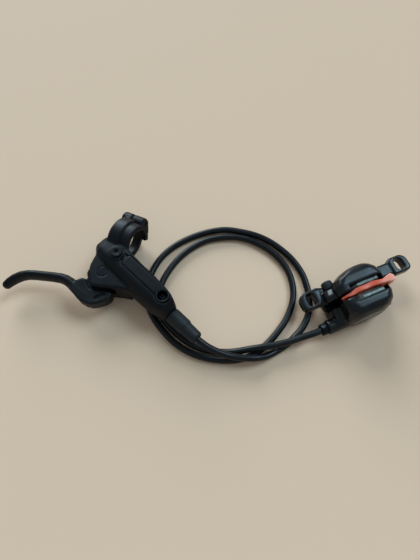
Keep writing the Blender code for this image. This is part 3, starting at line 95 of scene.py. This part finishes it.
def smooth_path(route, count):
    """A centripetal Catmull-Rom curve through the route: each span blends the lines through its four
    nearest points, and the curve is then read at evenly spaced lengths. Also gives its length."""
    ends = np.vstack([2 * route[0] - route[1], route, 2 * route[-1] - route[-2]])
    spans = np.sqrt(np.linalg.norm(np.diff(ends, axis=0), axis=1))[:, None, None]
    p0, p1, p2, p3 = (ends[k:len(ends) - 3 + k][:, None, :] for k in range(4))
    t1 = spans[:-2]
    t2 = t1 + spans[1:-1]
    t3 = t2 + spans[2:]
    t = t1 + (t2 - t1) * np.arange(SPAN_POINTS)[None, :, None] / SPAN_POINTS
    a1 = p0 + (p1 - p0) * t / t1
    a2 = p1 + (p2 - p1) * (t - t1) / (t2 - t1)
    a3 = p2 + (p3 - p2) * (t - t2) / (t3 - t2)
    b1 = a1 + (a2 - a1) * t / t2
    b2 = a2 + (a3 - a2) * (t - t1) / (t3 - t1)
    curve = np.vstack([(b1 + (b2 - b1) * (t - t1) / (t2 - t1)).reshape(-1, 3), route[-1:]])
    along = np.concatenate([[0], np.cumsum(np.linalg.norm(np.diff(curve, axis=0), axis=1))])
    at = np.linspace(0, along[-1], count)
    return np.stack([np.interp(at, along, curve[:, k]) for k in range(3)], axis=1), along[-1]


def tube_rings(path, radius, sides):
    """Rings of a round section carried square to a path, the first point of each as high as it can be."""
    ahead = np.gradient(path, axis=0)
    ahead /= np.linalg.norm(ahead, axis=1)[:, None]
    side = np.cross(ahead, [0.0, 0.0, 1.0])
    side /= np.linalg.norm(side, axis=1)[:, None]
    up = np.cross(side, ahead)
    turn = np.arange(sides) * math.tau / sides
    ring = up[:, None] * np.cos(turn)[None, :, None] + side[:, None] * np.sin(turn)[None, :, None]
    return path[:, None] + ring * radius


def skin(name, rings, material, node, body, loop=False):
    """A piece whose closed surface runs through an array of rings, shape (rings, points, 3), with u round
    them and v along. In a loop the last ring joins the first, or else each end gets one flat face."""
    rows, sides = rings.shape[:2]
    row = np.arange(rows if loop else rows - 1)[:, None] * sides
    ahead = (row + sides) % (rows * sides)
    k = np.arange(sides)[None, :]
    after = (k + 1) % sides
    quads = np.stack([row + k, ahead + k, ahead + after, row + after], axis=-1).reshape(-1, 4)
    faces = quads.tolist()
    if not loop:
        faces += [list(range(sides)), list(range(rows * sides - 1, (rows - 1) * sides - 1, -1))]
    mesh = bpy.data.meshes.new(name)
    mesh.from_pydata(rings.reshape(-1, 3).tolist(), [], faces)
    corner = np.zeros((len(mesh.loops), 2))
    v = np.repeat(np.arange(len(row)), sides)[:, None] + np.array([0, 1, 1, 0])
    u = np.tile(np.arange(sides), len(row))[:, None] + np.array([0, 0, 1, 1])
    corner[:len(quads) * 4] = np.stack([u / sides, v / len(row)], axis=-1).reshape(-1, 2)
    mesh.uv_layers.new(name="surface").data.foreach_set("uv", corner.ravel())
    bm = bmesh.new()
    bm.from_mesh(mesh)
    bmesh.ops.recalc_face_normals(bm, faces=bm.faces)
    bm.to_mesh(mesh)
    bm.free()
    mesh.shade_smooth()
    mesh.set_sharp_from_angle(angle=math.radians(40))
    return put(name, mesh, material, node, body)


def put(name, mesh, material, node, body):
    """Places a mesh that is already where it belongs, in the stead of a solid."""
    mesh.materials.clear()
    mesh.materials.append(material)
    piece = bpy.data.objects.new(name, mesh)
    bpy.context.scene.collection.objects.link(piece)
    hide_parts(node)
    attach(piece, body)
    return piece


def new_finish(name, colour, roughness, metallic=0.0, specular=0.5):
    """A Principled material, with its node tree, its shader and its object coordinates."""
    material = bpy.data.materials.new(name)
    material.use_nodes = True
    tree = material.node_tree
    shader = tree.nodes["Principled BSDF"]
    shader.inputs["Base Color"].default_value = (*colour, 1.0)
    shader.inputs["Roughness"].default_value = roughness
    shader.inputs["Metallic"].default_value = metallic
    shader.inputs["Specular IOR Level"].default_value = specular
    where = tree.nodes.new("ShaderNodeTexCoord")
    return material, tree, shader, where.outputs["Object"]


def noise(tree, vector, scale, detail=3.0, stretch=None):
    """A noise of that many cells per metre, drawn out along an axis where stretch says so."""
    if stretch:
        drawn = tree.nodes.new("ShaderNodeMapping")
        drawn.inputs["Scale"].default_value = stretch
        tree.links.new(vector, drawn.inputs["Vector"])
        vector = drawn.outputs["Vector"]
    grain = tree.nodes.new("ShaderNodeTexNoise")
    grain.inputs["Scale"].default_value = scale
    grain.inputs["Detail"].default_value = detail
    tree.links.new(vector, grain.inputs["Vector"])
    return grain.outputs["Fac"]


def ranged(tree, value, low, high, start=0.3, end=0.7):
    """Spreads a value between start and end over the range from low to high."""
    spread = tree.nodes.new("ShaderNodeMapRange")
    spread.inputs["From Min"].default_value = start
    spread.inputs["From Max"].default_value = end
    spread.inputs["To Min"].default_value = low
    spread.inputs["To Max"].default_value = high
    tree.links.new(value, spread.inputs["Value"])
    return spread.outputs["Result"]


def raised(tree, shader, height, strength, depth):
    """Lifts the surface by a height, with depth in metres."""
    lift = tree.nodes.new("ShaderNodeBump")
    lift.inputs["Strength"].default_value = strength
    lift.inputs["Distance"].default_value = depth
    tree.links.new(height, lift.inputs["Height"])
    tree.links.new(lift.outputs["Normal"], shader.inputs["Normal"])


nylon, tree, shader, place = new_finish("hose_nylon", (0.0030, 0.0036, 0.0052), 0.34, specular=0.25)
unrolled = tree.nodes.new("ShaderNodeUVMap")
unrolled.uv_map = "surface"
die_lines = noise(tree, unrolled.outputs["UV"], 1.0, detail=2.0, stretch=(46.0, 7.0, 1.0))
handled = noise(tree, place, 70.0)
tree.links.new(ranged(tree, handled, 0.27, 0.44), shader.inputs["Roughness"])
raised(tree, shader, die_lines, 0.14, 0.2 * MM)

path, hose_length = smooth_path(ROUTE, HOSE_POINTS)
# The curve dips a little between its points, but the hose lies on the table.
path[:, 2] = np.maximum(path[:, 2], HOSE_R)
hose_rings = tube_rings(path, HOSE_R * HOSE_SHARE, sides=24)
hose = skin("hose_tube", hose_rings, nylon, "hose", "base")


# The table is a plain pale board, wide enough to fill the view.
# It is matt, so that it takes the soft shadow of the brake and gives no glare.
REACH = 4.0                 # from its middle to each edge, in metres
board, tree, shader, place = new_finish("pale_board", (0.73, 0.505, 0.36), 0.8, specular=0.1)
tree.links.new(ranged(tree, noise(tree, place, 140.0), 0.76, 0.86), shader.inputs["Roughness"])
corners = [(-REACH, -REACH, 0), (REACH, -REACH, 0), (REACH, REACH, 0), (-REACH, REACH, 0)]
mesh = bpy.data.meshes.new("table")
mesh.from_pydata(corners, [], [(0, 1, 2, 3)])
mesh.materials.append(board)
table = bpy.data.objects.new("table", mesh)
bpy.context.scene.collection.objects.link(table)


# Daylight falls in from a wide window behind the brake and a smaller one on the right, a little cool,
# so its shadows are soft. It grazes the flat black faces and lights their round edges.
# A pale sky fills in what the windows leave dark.
def daylight(name, towards, strength, spread, colour):
    """Soft light from one direction, spread over an angle like that of a window."""
    lamp = bpy.data.objects.new(name, bpy.data.lights.new(name, "SUN"))
    lamp.data.energy = strength
    lamp.data.angle = math.radians(spread)
    lamp.data.color = colour
    lamp.rotation_euler = Vector(towards).to_track_quat("Z", "Y").to_euler()
    bpy.context.scene.collection.objects.link(lamp)


daylight("window_behind", (-0.30, 0.86, 0.42), 2.8, 34.0, (0.76, 0.92, 1.0))
daylight("window_right", (0.52, 0.34, 0.78), 1.5, 26.0, (0.56, 0.82, 1.0))
world = bpy.data.worlds.new("sky")
bpy.context.scene.world = world
world.use_nodes = True
world.node_tree.nodes["Background"].inputs["Color"].default_value = (0.80, 0.95, 1.0, 1.0)
world.node_tree.nodes["Background"].inputs["Strength"].default_value = 0.38


# The lever unit's housing is an aluminium casting with its reservoir, pivot lugs and clamp arm.
# It is blasted and painted satin black, so every edge is round and the paint has a fine grain.
# Handling rubs its corners, where the paint is a little paler and smoother.
SMOOTH = 0.5            # share of the way to its neighbours' mean that a point moves
SWELL = 0.45            # and share of the way that it moves back, which keeps the size
RUB_FROM = 0.03         # a point starts to be rubbed where it stands out by this share of the grid
RUB_OVER = 0.09         # and is fully rubbed this much further


def points_of(mesh):
    """A mesh's points, one row each."""
    points = np.empty(len(mesh.vertices) * 3)
    mesh.vertices.foreach_get("co", points)
    return points.reshape(-1, 3)


def cast_surface(node, grid, passes, flow=2):
    """A casting's round edges on a copy of a solid: it is meshed again on a fine grid, then each point
    moves out and back along the line to its neighbours' mean, which rounds edges and keeps the size.
    The attribute rubbed is how far a point stands out from its neighbours, averaged over them.
    The directions that it faces are averaged flow times, as thick paint flows over a corner."""
    copy = bpy.data.objects.new("copy", nodes[node].data.copy())
    bpy.context.scene.collection.objects.link(copy)
    bm = bmesh.new()
    bm.from_mesh(copy.data)
    bmesh.ops.remove_doubles(bm, verts=bm.verts, dist=0.001 * MM)
    bm.to_mesh(copy.data)
    bm.free()
    remesh = copy.modifiers.new("grid", "REMESH")
    remesh.mode = "VOXEL"
    remesh.voxel_size = grid
    mesh = bpy.data.meshes.new_from_object(copy.evaluated_get(bpy.context.evaluated_depsgraph_get()))
    bpy.data.objects.remove(copy)
    points = points_of(mesh)
    pairs = np.empty(len(mesh.edges) * 2, np.int64)
    mesh.edges.foreach_get("vertices", pairs)
    pairs = np.vstack([pairs.reshape(-1, 2), pairs.reshape(-1, 2)[:, ::-1]])
    number = np.bincount(pairs[:, 0], minlength=len(points))[:, None]

    def neighbours_mean(values):
        columns = [np.bincount(pairs[:, 0], column[pairs[:, 1]], len(values)) for column in values.T]
        return np.stack(columns, axis=1) / number

    for step in range(passes):
        points += (SMOOTH if step % 2 == 0 else -SWELL) * (neighbours_mean(points) - points)
    low, high = np.array(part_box(node))
    points = np.clip(points, low, high)
    mesh.vertices.foreach_set("co", points.ravel())
    mesh.update()
    outward = np.empty(len(mesh.vertices) * 3)
    mesh.vertex_normals.foreach_get("vector", outward)
    outward = outward.reshape(-1, 3)
    stands_out = np.sum((points - neighbours_mean(points)) * outward, axis=1)[:, None] / grid
    for step in range(3):
        stands_out = neighbours_mean(stands_out)
    for step in range(flow):
        outward = neighbours_mean(outward)
    outward /= np.linalg.norm(outward, axis=1)[:, None]
    rubbed = np.clip((stands_out[:, 0] - RUB_FROM) / RUB_OVER, 0.0, 1.0)
    mesh.attributes.new("rubbed", "FLOAT", "POINT").data.foreach_set("value", rubbed.astype(np.float32))
    mesh.shade_smooth()
    mesh.normals_split_custom_set_from_vertices(outward.tolist())
    return mesh


def two_tone(tree, factor, first, second):
    """A blend from a first colour to a second one by a factor."""
    blend = tree.nodes.new("ShaderNodeMix")
    blend.data_type = "RGBA"
    blend.inputs["A"].default_value = (*first, 1.0)
    blend.inputs["B"].default_value = (*second, 1.0)
    tree.links.new(factor, blend.inputs["Factor"])
    return blend


def coating(name, colour, worn, roughness, specular, grain, depth):
    """A black coat over metal, with a fine grain, broad handling marks and rubbed corners."""
    material, tree, shader, place = new_finish(name, colour, roughness, specular=specular)
    handled = noise(tree, place, 90.0, detail=4.0)
    tree.links.new(ranged(tree, handled, roughness - 0.07, roughness + 0.08), shader.inputs["Roughness"])
    raised(tree, shader, noise(tree, place, grain, 2.0), 0.35, depth)
    corner = tree.nodes.new("ShaderNodeAttribute")
    corner.attribute_name = "rubbed"
    patchy = tree.nodes.new("ShaderNodeMath")
    patchy.operation = "MULTIPLY"
    tree.links.new(corner.outputs["Fac"], patchy.inputs[0])
    tree.links.new(ranged(tree, handled, 0.25, 1.0, start=0.35, end=0.62), patchy.inputs[1])
    blend = two_tone(tree, patchy.outputs[0], colour, worn)
    tree.links.new(blend.outputs["Result"], shader.inputs["Base Color"])
    return material


satin = coating("satin_black_paint", colour=(0.0022, 0.0030, 0.0046), worn=(0.012, 0.016, 0.023),
                roughness=0.46, specular=0.17, grain=2600.0, depth=0.08 * MM)
put("lever_housing", cast_surface("lever_body", grid=0.46 * MM, passes=14), satin,
    "lever_body", "base")


# The handlebar clamp closes with a band on a hinge pin, drawn up by one cap screw of black steel.
# The band is cast and painted like the housing, and the screw is cold formed with a hexagon socket.
def dress(material, *names):
    """Gives solids of the frame their finish."""
    for name in names:
        for slot in nodes[name].material_slots:
            slot.material = material


def machined(name, colour, roughness, marks=0.3):
    """Bare or blackened metal with fine turning marks and a trace of oil that makes its shine uneven."""
    material, tree, shader, place = new_finish(name, colour, roughness, metallic=1.0)
    oil = noise(tree, place, 400.0, detail=4.0)
    tree.links.new(ranged(tree, oil, roughness - 0.08, roughness + 0.12), shader.inputs["Roughness"])
    raised(tree, shader, noise(tree, place, 1500.0, detail=2.0, stretch=(1.0, 1.0, 9.0)), marks, 0.05 * MM)
    return material


put("clamp_strap", cast_surface("clamp_band", grid=0.4 * MM, passes=10), satin,
    "clamp_band", "base")
blackened = machined("blackened_steel", (0.016, 0.018, 0.022), 0.40)
dress(blackened, "clamp_hinge_pin", "clamp_bolt")


# The reservoir is closed by a lid over a rubber diaphragm, held by one cross-head screw in a deep cup.
# The lid is painted with the housing. The screw is turned from black steel, 6 mm across its head.
rubber, tree, shader, place = new_finish("black_rubber", (0.0050, 0.0078, 0.0105), 0.50, specular=0.32)
tree.links.new(ranged(tree, noise(tree, place, 160.0, detail=5.0), 0.46, 0.64), shader.inputs["Roughness"])
raised(tree, shader, noise(tree, place, 3000.0, detail=2.0), 0.3, 0.1 * MM)
put("reservoir_cover", cast_surface("reservoir_lid", grid=0.34 * MM, passes=7), satin,
    "reservoir_lid", "base")
dress(rubber, "reservoir_diaphragm")
dress(blackened, "lid_screw")


# The bleed screw is a low black plug with a 3 mm hexagon socket and a rubber ring under its rim.
# It is turned and then dipped, so its rim is round and its top has faint circles.
def from_side(turn):
    """How far an angle is from the middle of the nearest of a hexagon's six sides."""
    return (turn + math.pi / 6) % (math.pi / 3) - math.pi / 6


def plug_rings(centre, rows, sides=72):
    """Rings of a screw seen from its top: each row is (height, radius, corners), where a ring with six
    corners has the radius r / cos(a) at the angle a from the middle of its side, as a hexagon does."""
    turn = np.arange(sides) * math.tau / sides
    height, radius, corners = np.array(rows).T[:, :, None]
    reach = radius / np.where(corners == 6, np.cos(from_side(turn)), 1.0)
    ring = np.stack([reach * np.cos(turn), reach * np.sin(turn), np.broadcast_to(height, reach.shape)], -1)
    return np.array(centre) + ring


def top_of(node):
    """The middle of the top of an upright piece, and its radius and height."""
    low, high = np.array(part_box(node))
    return np.array([*(low[:2] + high[:2]) / 2, high[2]]), (high[0] - low[0]) / 2, high[2] - low[2]


crown, rim, height = top_of("bleed_screw")
socket = 1.5 * MM
plug_rows = [
    (-0.9 * MM, socket, 6), (-0.12 * MM, socket, 6), (0.0, socket + 0.15 * MM, 6),
    (0.0, rim - 0.5 * MM, 0), (-0.06 * MM, rim - 0.24 * MM, 0), (-0.2 * MM, rim - 0.07 * MM, 0),
    (-0.42 * MM, rim, 0), (-1.0 * MM, rim, 0), (-1.2 * MM, rim - 0.2 * MM, 0),
    (-1.2 * MM, 2.3 * MM, 0), (-8.1 * MM, 2.3 * MM, 0), (-height, 1.8 * MM, 0),
]
skin("bleed_plug", plug_rings(crown, plug_rows), satin, "bleed_screw", "base")
dress(rubber, "bleed_screw_seal")


# The finger lever is a forging: a smooth blade for two fingers on a broad base, with a cam arm inside.
# It is anodised black, a little duller than the housing, and fingers have polished it.
# It turns on a headed steel pin through both lugs, kept by a spring clip below.
anodised = coating("black_anodised", colour=(0.0026, 0.0034, 0.0050), worn=(0.012, 0.015, 0.021),
                   roughness=0.43, specular=0.18, grain=3800.0, depth=0.05 * MM)
put("finger_lever", cast_surface("lever_blade", grid=0.36 * MM, passes=12), anodised,
    "lever_blade", "lever")
bright = machined("bright_steel", (0.46, 0.465, 0.47), 0.34)
dress(blackened, "pivot_pin")
dress(bright, "pivot_clip")


# Inside the cylinder a phenolic piston with two rubber cups is pushed by a rod from the cam arm.
# A stamped ring and a rubber boot close the mouth. A coil spring of 0.8 mm wire sends the piston back:
# in use it shortens between the piston and the cylinder's end, but here it is a still copy of its solid.
LEVER_AT = (-66.49, 11.64)
LEVER_TURN = -43.5
CYLINDER = (-3.2, 15.0)     # place across the lever unit and height of the cylinder's axis


def beside(corner, turn, x, y, z):
    """A point in metres, from its place in millimetres along and across the lever unit or the caliper,
    whose own corner and turn are given."""
    c, s = math.cos(math.radians(turn)), math.sin(math.radians(turn))
    return np.array([corner[0] + c * x - s * y, corner[1] + s * x + c * y, z]) * MM


resin, tree, shader, place = new_finish("phenolic_resin", (0.55, 0.52, 0.45), 0.5)
speckle = noise(tree, place, 900.0, detail=4.0)
tree.links.new(ranged(tree, speckle, 0.42, 0.58), shader.inputs["Roughness"])
raised(tree, shader, speckle, 0.25, 0.08 * MM)
dress(resin, "master_piston")
dress(rubber, "primary_cup", "secondary_cup", "rod_dust_boot")
dress(bright, "rod_pin", "push_rod", "piston_stop_ring")
coil = bpy.data.objects.new("return_spring", nodes["piston_spring"].data.copy())
bpy.context.scene.collection.objects.link(coil)
coil.data.materials.clear()
coil.data.materials.append(bright)
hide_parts("piston_spring")
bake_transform(coil)


# The hose is held by a compression nut and a brass olive on an insert, at both of its ends.
# The nuts are black steel hexagons of 8 mm, chamfered on a lathe, and the caliper's one can be seen.
CALIPER_AT = (108.46, -5.76)
CALIPER_TURN = 22.8


def level_axes(along):
    """The direction of a level axis, the level direction across it, and the one that points upwards."""
    along = np.array(along) / np.linalg.norm(along)
    across = np.cross(along, [0.0, 0.0, 1.0])
    return along, across, np.cross(across, along)


def nut_rings(foot, along, rows, sides=72):
    """Rings of a hexagon nut: at the angle a from the middle of a side, the radius is the lesser of the
    flat's r / cos(a) and the cone that the lathe leaves, and rows are (distance, cone, flat)."""
    along, across, upward = level_axes(along)
    turn = np.arange(sides) * math.tau / sides
    distance, cone, flat = np.array(rows).T[:, :, None] * MM
    reach = np.minimum(cone, flat / np.cos(from_side(turn)))[:, :, None]
    ring = reach * (np.cos(turn)[:, None] * across + np.sin(turn)[:, None] * upward)
    return np.array(foot) + distance[:, :, None] * along + ring


NUT_ROWS = [
    (4.6, 3.55, 4.0), (4.45, 3.95, 4.0), (4.1, 4.62, 4.0), (0.9, 4.62, 4.0), (0.5, 4.2, 4.0),
    (0.3, 3.9, 4.0), (0.3, 3.6, 4.0), (-1.4, 3.6, 4.0), (-1.6, 3.4, 4.0), (-1.6, 2.8, 4.0),
    (4.3, 2.8, 4.0), (4.6, 3.0, 4.0),
]
HOUSING_END = 58.5          # along the lever unit, where the hose comes out
BOSS_END = -34.0            # along the caliper, where the hose goes in
BOSS = (-21.6, 8.2)         # place across the caliper and height of the hose boss
lever_end = beside(LEVER_AT, LEVER_TURN, HOUSING_END, *CYLINDER)
lever_out = beside(LEVER_AT, LEVER_TURN, HOUSING_END + 1, *CYLINDER) - lever_end
caliper_end = beside(CALIPER_AT, CALIPER_TURN, BOSS_END, *BOSS)
caliper_out = beside(CALIPER_AT, CALIPER_TURN, BOSS_END - 1, *BOSS) - caliper_end
for unit, foot, out in [("lever", lever_end, lever_out), ("caliper", caliper_end, caliper_out)]:
    skin("hose_nut_at_" + unit, nut_rings(foot, out, NUT_ROWS), blackened,
         unit + "_hose_nut", "base", loop=True)
brass = machined("turned_brass", (0.70, 0.50, 0.22), 0.3)
dress(brass, "lever_hose_insert", "lever_olive", "caliper_hose_insert", "caliper_olive")


# The boot is a moulded rubber sleeve pushed over the lever's hose nut, stepped down towards the hose.
# Its shoulders are soft, its mouth is rolled, and it bulges a little where it grips the nut.
BOOT = [
    (0.0, 5.05), (0.0, 5.6), (0.25, 5.86), (0.8, 5.98), (2.0, 6.0), (4.0, 5.97), (6.0, 5.92),
    (9.0, 5.90), (11.8, 5.92), (12.8, 5.86), (13.5, 5.66), (14.0, 5.36), (14.5, 5.18), (15.4, 5.10),
    (18.0, 5.02), (21.5, 4.92), (23.4, 4.86), (24.4, 4.66), (25.1, 4.25), (25.45, 3.7), (25.5, 3.1),
    (25.2, 2.8), (6.6, 2.8), (6.0, 3.6), (5.6, 5.05),
]
BOOT_GAP = 0.3              # from the housing's end to the boot, in millimetres


def lathe(profile, centre, along, sides=48):
    """Rings of a turned shape: each (distance, radius) of the profile is a circle square to the axis."""
    along, across, upward = level_axes(along)
    turn = np.arange(sides) * math.tau / sides
    circle = np.cos(turn)[:, None] * across + np.sin(turn)[:, None] * upward
    distance, radius = np.array(profile).T
    return np.array(centre) + distance[:, None, None] * along + radius[:, None, None] * circle


boot_rings = lathe(np.array(BOOT) * MM, lever_end + BOOT_GAP * lever_out, lever_out, sides=56)
skin("hose_boot_sleeve", boot_rings, rubber, "hose_boot", "base", loop=True)


# The two halves of the caliper are forged aluminium, machined inside and coated gloss black.
# The inner half carries both mounting ears, and the outer half the boss that the hose enters.
gloss = coating("gloss_black_coat", colour=(0.0022, 0.0030, 0.0044), worn=(0.010, 0.013, 0.018),
                roughness=0.29, specular=0.31, grain=1500.0, depth=0.01 * MM)
for half in ("inner", "outer"):
    put("caliper_half_" + half, cast_surface("caliper_" + half, grid=0.4 * MM, passes=36, flow=6), gloss,
        "caliper_" + half, "base")
dress(blackened, "body_bolt_left", "body_bolt_right", "pad_pin")


# The bleed nipple is a steel screw with a hexagon, under a black rubber cap with a domed end.
# The cap is moulded, and a bead round its mouth grips the hexagon.
CAP = [
    (8.6, 0.05), (8.58, 1.4), (8.42, 2.6), (8.1, 3.4), (7.6, 3.95), (7.0, 4.2), (5.0, 4.3), (3.0, 4.38),
    (2.3, 4.4), (1.9, 4.3), (1.7, 4.05), (1.72, 3.6), (2.0, 3.5), (4.1, 3.5), (4.12, 2.3), (6.9, 2.3),
    (7.0, 0.05),
]
NIPPLE_X, NIPPLE_Z = -20.8, 15.8
nipple_foot = beside(CALIPER_AT, CALIPER_TURN, NIPPLE_X, 0, NIPPLE_Z)
nipple_out = beside(CALIPER_AT, CALIPER_TURN, NIPPLE_X, 1, NIPPLE_Z) - nipple_foot
cap_rings = lathe(np.array(CAP) * MM, nipple_foot, nipple_out)
skin("bleed_nipple_cap", cap_rings, rubber, "bleed_cap", "base")
dress(blackened, "bleed_nipple")


# Each pad is a block of brown friction compound on a stamped steel plate, pressed by a resin piston.
# The block is sintered and coarse, and a folded spring between the plates keeps them apart.
BINDER = (0.060, 0.050, 0.042)
FIBRE = (0.190, 0.160, 0.130)
compound, tree, shader, place = new_finish("friction_compound", BINDER, 0.85, specular=0.3)
grit = noise(tree, place, 1300.0, detail=6.0)
mixed = two_tone(tree, ranged(tree, grit, 0.0, 1.0), BINDER, FIBRE)
tree.links.new(mixed.outputs["Result"], shader.inputs["Base Color"])
tree.links.new(ranged(tree, grit, 0.75, 0.95), shader.inputs["Roughness"])
raised(tree, shader, grit, 0.5, 0.3 * MM)
dress(compound, "pad_friction_inner", "pad_friction_outer")
stamped = machined("stamped_steel", (0.20, 0.225, 0.215), 0.60, marks=0.02)
dress(stamped, "pad_plate_inner", "pad_plate_outer", "pad_spring")
dress(resin, "piston_inner", "piston_outer")
dress(rubber, "piston_seal_inner", "piston_seal_outer")


# The transport spacer is a thin moulding of orange plastic that keeps the pads apart without a disc.
# Its rim stands out of the slot and has warped in waves, and its right end is thick; the top of that end
# has a painted highlight in pale orange.
RIM_FROM = 27.4         # height where the rim starts to bend, just above the friction blocks
RIM_OVER = 2.4          # height over which the bend grows to its full size
SWING = 0.26 * MM       # how far the rim swings to each side
SWING_WAVE = 12.5       # length of such a wave at the middle
WAVE_GROWTH = 0.12      # and how much longer it gets per millimetre to the right
SAG = 0.35 * MM         # how far the rim sinks
SAG_WAVE = 13.0         # length of such a wave
PAINTED_HIGHLIGHT_FROM = 9.0       # along the slot, where the painted highlight starts
PAINTED_HIGHLIGHT_OVER = 9.0       # and the length over which the painted highlight grows to full


def spacer_surface():
    """The spacer's cast surface with its rim bent: above the friction blocks each point moves across the
    slot, and down, by sines of its place along the slot, from nothing at first to the full size."""
    mesh = cast_surface("pad_spacer", grid=0.3 * MM, passes=6)
    points = points_of(mesh)
    low, high = np.array(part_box("pad_spacer"))
    c, s = math.cos(math.radians(CALIPER_TURN)), math.sin(math.radians(CALIPER_TURN))
    from_middle = points[:, :2] - (low[:2] + high[:2]) / 2
    along = from_middle @ np.array([c, s]) / MM
    proud = np.clip((points[:, 2] / MM - RIM_FROM) / RIM_OVER, 0.0, 1.0)
    swing = SWING * proud * np.sin(along * math.tau / (SWING_WAVE + WAVE_GROWTH * along))
    lift = -SAG * proud * (0.5 + 0.5 * np.sin(along * math.tau / SAG_WAVE + 1.0))
    points += np.stack([-s * swing, c * swing, lift], axis=1)
    mesh.vertices.foreach_set("co", np.clip(points, low, high).ravel())
    mesh.update()
    # Painted highlight: the top of the rim turns paler towards its right end, standing in for the light
    # that catches it there.
    painted_highlight = proud * np.clip((along - PAINTED_HIGHLIGHT_FROM) / PAINTED_HIGHLIGHT_OVER, 0.0, 1.0)
    mesh.attributes.new("painted_highlight", "FLOAT", "POINT").data.foreach_set("value", painted_highlight.astype(np.float32))
    return mesh


DEEP_ORANGE = (0.56, 0.062, 0.026)
LIGHT_ORANGE = (0.76, 0.135, 0.060)
# A paler orange, painted on the top of the rim's right end as a highlight.
PAINTED_HIGHLIGHT_ORANGE = (0.86, 0.34, 0.24)
orange, tree, shader, place = new_finish("orange_plastic", DEEP_ORANGE, 0.36, specular=0.45)
flow = noise(tree, place, 60.0)
tint = two_tone(tree, ranged(tree, flow, 0.0, 1.0), DEEP_ORANGE, LIGHT_ORANGE)
# The painted highlight is read from its attribute and blended over the orange.
painted_highlight = tree.nodes.new("ShaderNodeAttribute")
painted_highlight.attribute_name = "painted_highlight"
paler = two_tone(tree, painted_highlight.outputs["Fac"], DEEP_ORANGE, PAINTED_HIGHLIGHT_ORANGE)
tree.links.new(tint.outputs["Result"], paler.inputs["A"])
tree.links.new(paler.outputs["Result"], shader.inputs["Base Color"])
tree.links.new(ranged(tree, noise(tree, place, 500.0), 0.30, 0.45), shader.inputs["Roughness"])
raised(tree, shader, noise(tree, place, 700.0, detail=2.0), 0.2, 0.1 * MM)
put("transport_spacer", spacer_surface(), orange, "pad_spacer", "base")
